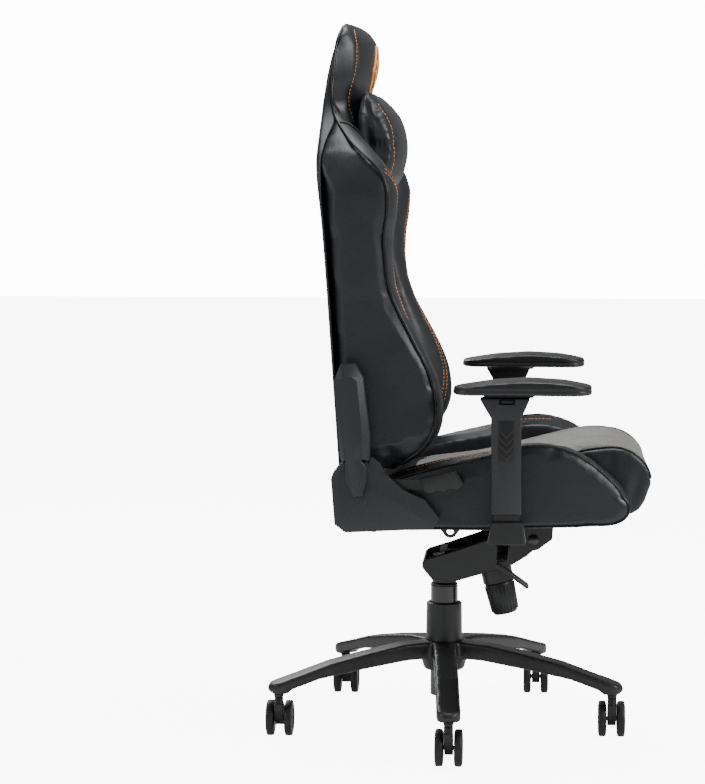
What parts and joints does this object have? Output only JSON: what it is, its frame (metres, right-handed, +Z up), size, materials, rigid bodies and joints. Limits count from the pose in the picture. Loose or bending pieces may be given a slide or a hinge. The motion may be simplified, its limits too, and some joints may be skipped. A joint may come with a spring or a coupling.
{
  "type": "gaming chair",
  "caption": "Bucket-backed swivel chair with side wings, head pillow, reclining back, tilting seat, adjustable armrests, gas lift and a star base on twin-wheel casters.",
  "frame": {"origin": "on the floor, under the middle of the chair's box", "axes": "+Z up, +X the way the sitter faces, +Y to the sitter's left"},
  "size_m": [0.692, 0.6664, 1.277],
  "materials": {
    "cast_metal": "satin black paint",
    "moulded_nylon": "moulded nylon",
    "tread": "soft caster tread",
    "column_paint": "semi-gloss black paint",
    "satin_plastic": "satin",
    "arm_plastic": "fine texture",
    "covers": "fine texture",
    "bright_steel": "bright",
    "black_steel": "powder coat",
    "webbing": "woven",
    "seat_leather": "perforated grey artificial leather",
    "leather": "black artificial leather with orange thread",
    "pad_foam": "soft self-skinned foam"
  },
  "bodies": {
    "base": {"base_star": "cast_metal", "gas_outer_tube": "column_paint", "column_cover": "satin_plastic", "guide_bushing": "satin_plastic", "thrust_bearing": "bright_steel"},
    "lift_rod": {"piston_rod": "bright_steel", "rod_clip": "bright_steel"},
    "mechanism": {"gas_cylinder": "column_paint", "mech_body": "black_steel", "tilt_pivot_bolt": "black_steel", "tension_spring": "bright_steel"},
    "tension_knob": {"tension_knob": "satin_plastic"},
    "lever_block": {"lever_block": "black_steel"},
    "height_lever": {"height_lever": "black_steel", "lever_paddle": "satin_plastic"},
    "release_pin": {"release_pin": "bright_steel"},
    "seat": {"mech_top_plate": "black_steel", "seat_frame": "black_steel", "seat_pan": "webbing", "seat_cushion": "seat_leather", "seat_bolster_R": "leather", "seat_bolster_L": "leather", "recline_bracket_R": "black_steel", "recline_bracket_L": "black_steel", "hinge_cover_R": "covers", "hinge_cover_L": "covers", "arm_post_R": "black_steel", "arm_post_L": "black_steel", "arm_foot_trim_R": "satin_plastic", "arm_foot_trim_L": "satin_plastic"},
    "backrest": {"back_hinge_plate_R": "black_steel", "back_hinge_plate_L": "black_steel", "back_arm_cover_R": "covers", "back_arm_cover_L": "covers", "back_cover": "leather", "back_frame": "black_steel", "back_cushion": "leather", "back_wing_R": "leather", "back_wing_L": "leather"},
    "recline_lever": {"recline_lever_bar": "bright_steel", "recline_lever_grip": "satin_plastic"},
    "head_pillow": {"head_pillow": "leather"},
    "arm_sleeve_R": {"arm_sleeve_R": "arm_plastic"},
    "arm_button_R": {"arm_button_R": "satin_plastic"},
    "arm_swivel_R": {"arm_swivel_plate_R": "black_steel"},
    "arm_pad_R": {"arm_pad_R": "pad_foam"},
    "arm_sleeve_L": {"arm_sleeve_L": "arm_plastic"},
    "arm_button_L": {"arm_button_L": "satin_plastic"},
    "arm_swivel_L": {"arm_swivel_plate_L": "black_steel"},
    "arm_pad_L": {"arm_pad_L": "pad_foam"},
    "caster_fork_1": {"caster_fork_1": "moulded_nylon"},
    "caster_wheels_1": {"caster_wheels_1": "tread"},
    "caster_fork_2": {"caster_fork_2": "moulded_nylon"},
    "caster_wheels_2": {"caster_wheels_2": "tread"},
    "caster_fork_3": {"caster_fork_3": "moulded_nylon"},
    "caster_wheels_3": {"caster_wheels_3": "tread"},
    "caster_fork_4": {"caster_fork_4": "moulded_nylon"},
    "caster_wheels_4": {"caster_wheels_4": "tread"},
    "caster_fork_5": {"caster_fork_5": "moulded_nylon"},
    "caster_wheels_5": {"caster_wheels_5": "tread"}
  },
  "joints": [
    {"name": "caster_swivel_1", "type": "hinge", "parent": "base", "child": "caster_fork_1", "pos_m": [-0.00824, -0.31491, 0.098], "axis": [0, 0, 1], "continuous": true},
    {"name": "caster_roll_1", "type": "hinge", "parent": "caster_fork_1", "child": "caster_wheels_1", "pos_m": [-0.00824, -0.29491, 0.0325], "axis": [1, 0, 0], "continuous": true},
    {"name": "caster_swivel_2", "type": "hinge", "parent": "base", "child": "caster_fork_2", "pos_m": [0.27795, -0.07899, 0.098], "axis": [0, 0, 1], "continuous": true},
    {"name": "caster_roll_2", "type": "hinge", "parent": "caster_fork_2", "child": "caster_wheels_2", "pos_m": [0.27795, -0.05899, 0.0325], "axis": [1, 0, 0], "continuous": true},
    {"name": "caster_swivel_3", "type": "hinge", "parent": "base", "child": "caster_fork_3", "pos_m": [0.14202, 0.26609, 0.098], "axis": [0, 0, 1], "continuous": true},
    {"name": "caster_roll_3", "type": "hinge", "parent": "caster_fork_3", "child": "caster_wheels_3", "pos_m": [0.14202, 0.28609, 0.0325], "axis": [1, 0, 0], "continuous": true},
    {"name": "caster_swivel_4", "type": "hinge", "parent": "base", "child": "caster_fork_4", "pos_m": [-0.22818, 0.24345, 0.098], "axis": [0, 0, 1], "continuous": true},
    {"name": "caster_roll_4", "type": "hinge", "parent": "caster_fork_4", "child": "caster_wheels_4", "pos_m": [-0.22818, 0.26345, 0.0325], "axis": [1, 0, 0], "continuous": true},
    {"name": "caster_swivel_5", "type": "hinge", "parent": "base", "child": "caster_fork_5", "pos_m": [-0.32105, -0.11563, 0.098], "axis": [0, 0, 1], "continuous": true},
    {"name": "caster_roll_5", "type": "hinge", "parent": "caster_fork_5", "child": "caster_wheels_5", "pos_m": [-0.32105, -0.09563, 0.0325], "axis": [1, 0, 0], "continuous": true},
    {"name": "seat_swivel", "type": "hinge", "parent": "base", "child": "lift_rod", "pos_m": [-0.0275, 0, 0.06], "axis": [0, 0, 1], "continuous": true},
    {"name": "seat_height", "type": "slide", "parent": "lift_rod", "child": "mechanism", "axis": [0, 0, 1], "range_m": [0, 0.08]},
    {"name": "seat_tilt", "type": "hinge", "parent": "mechanism", "child": "seat", "pos_m": [0.1345, 0, 0.361], "axis": [0, -1, 0], "range_deg": [0, 12], "stiffness_Nm_per_rad": 200, "springref_deg": -14.9},
    {"name": "tension_turn", "type": "hinge", "parent": "mechanism", "child": "tension_knob", "pos_m": [0.0855, 0, 0.213], "axis": [-0.2233, 0, 0.9748], "continuous": true},
    {"name": "lever_lift", "type": "hinge", "parent": "mechanism", "child": "lever_block", "pos_m": [0.0805, -0.055, 0.35], "axis": [-1, 0, 0], "range_deg": [0, 6], "stiffness_Nm_per_rad": 6, "springref_deg": -6.88},
    {"name": "lever_lock", "type": "slide", "parent": "lever_block", "child": "height_lever", "axis": [0, -1, 0], "range_m": [0, 0.012]},
    {"name": "release_pin_push", "type": "slide", "parent": "mechanism", "child": "release_pin", "axis": [0, 0, 1], "range_m": [-0.006, 0]},
    {"name": "recline", "type": "hinge", "parent": "seat", "child": "backrest", "pos_m": [-0.1695, 0, 0.486], "axis": [0, -1, 0], "range_deg": [0, 45]},
    {"name": "recline_lever_lift", "type": "hinge", "parent": "seat", "child": "recline_lever", "pos_m": [-0.1695, -0.288, 0.486], "axis": [0, -1, 0], "range_deg": [0, 13], "stiffness_Nm_per_rad": 2, "springref_deg": -17.19},
    {"name": "pillow_pull", "type": "slide", "parent": "backrest", "child": "head_pillow", "axis": [1, 0, 0], "range_m": [0, 0.1]},
    {"name": "arm_height_R", "type": "slide", "parent": "seat", "child": "arm_sleeve_R", "axis": [0, 0, 1], "range_m": [-0.012, 0.065]},
    {"name": "arm_turn_R", "type": "hinge", "parent": "arm_sleeve_R", "child": "arm_swivel_R", "pos_m": [0.0885, -0.305, 0.639], "axis": [0, 0, 1], "range_deg": [-15, 15]},
    {"name": "arm_slide_R", "type": "slide", "parent": "arm_swivel_R", "child": "arm_pad_R", "axis": [1, 0, 0], "range_m": [-0.004, 0.03]},
    {"name": "arm_button_push_R", "type": "slide", "parent": "arm_sleeve_R", "child": "arm_button_R", "axis": [0, 1, 0], "range_m": [0, 0.003], "stiffness_N_per_m": 300, "springref_m": -0.003},
    {"name": "arm_height_L", "type": "slide", "parent": "seat", "child": "arm_sleeve_L", "axis": [0, 0, 1], "range_m": [-0.012, 0.065]},
    {"name": "arm_turn_L", "type": "hinge", "parent": "arm_sleeve_L", "child": "arm_swivel_L", "pos_m": [0.0885, 0.305, 0.639], "axis": [0, 0, 1], "range_deg": [-15, 15]},
    {"name": "arm_slide_L", "type": "slide", "parent": "arm_swivel_L", "child": "arm_pad_L", "axis": [1, 0, 0], "range_m": [-0.004, 0.03]},
    {"name": "arm_button_push_L", "type": "slide", "parent": "arm_sleeve_L", "child": "arm_button_L", "axis": [0, -1, 0], "range_m": [0, 0.003], "stiffness_N_per_m": 300, "springref_m": -0.003}
  ],
  "couplings": [
    {"joint": "release_pin_push", "follows": "lever_lift", "m_per_rad": -0.057}
  ]
}
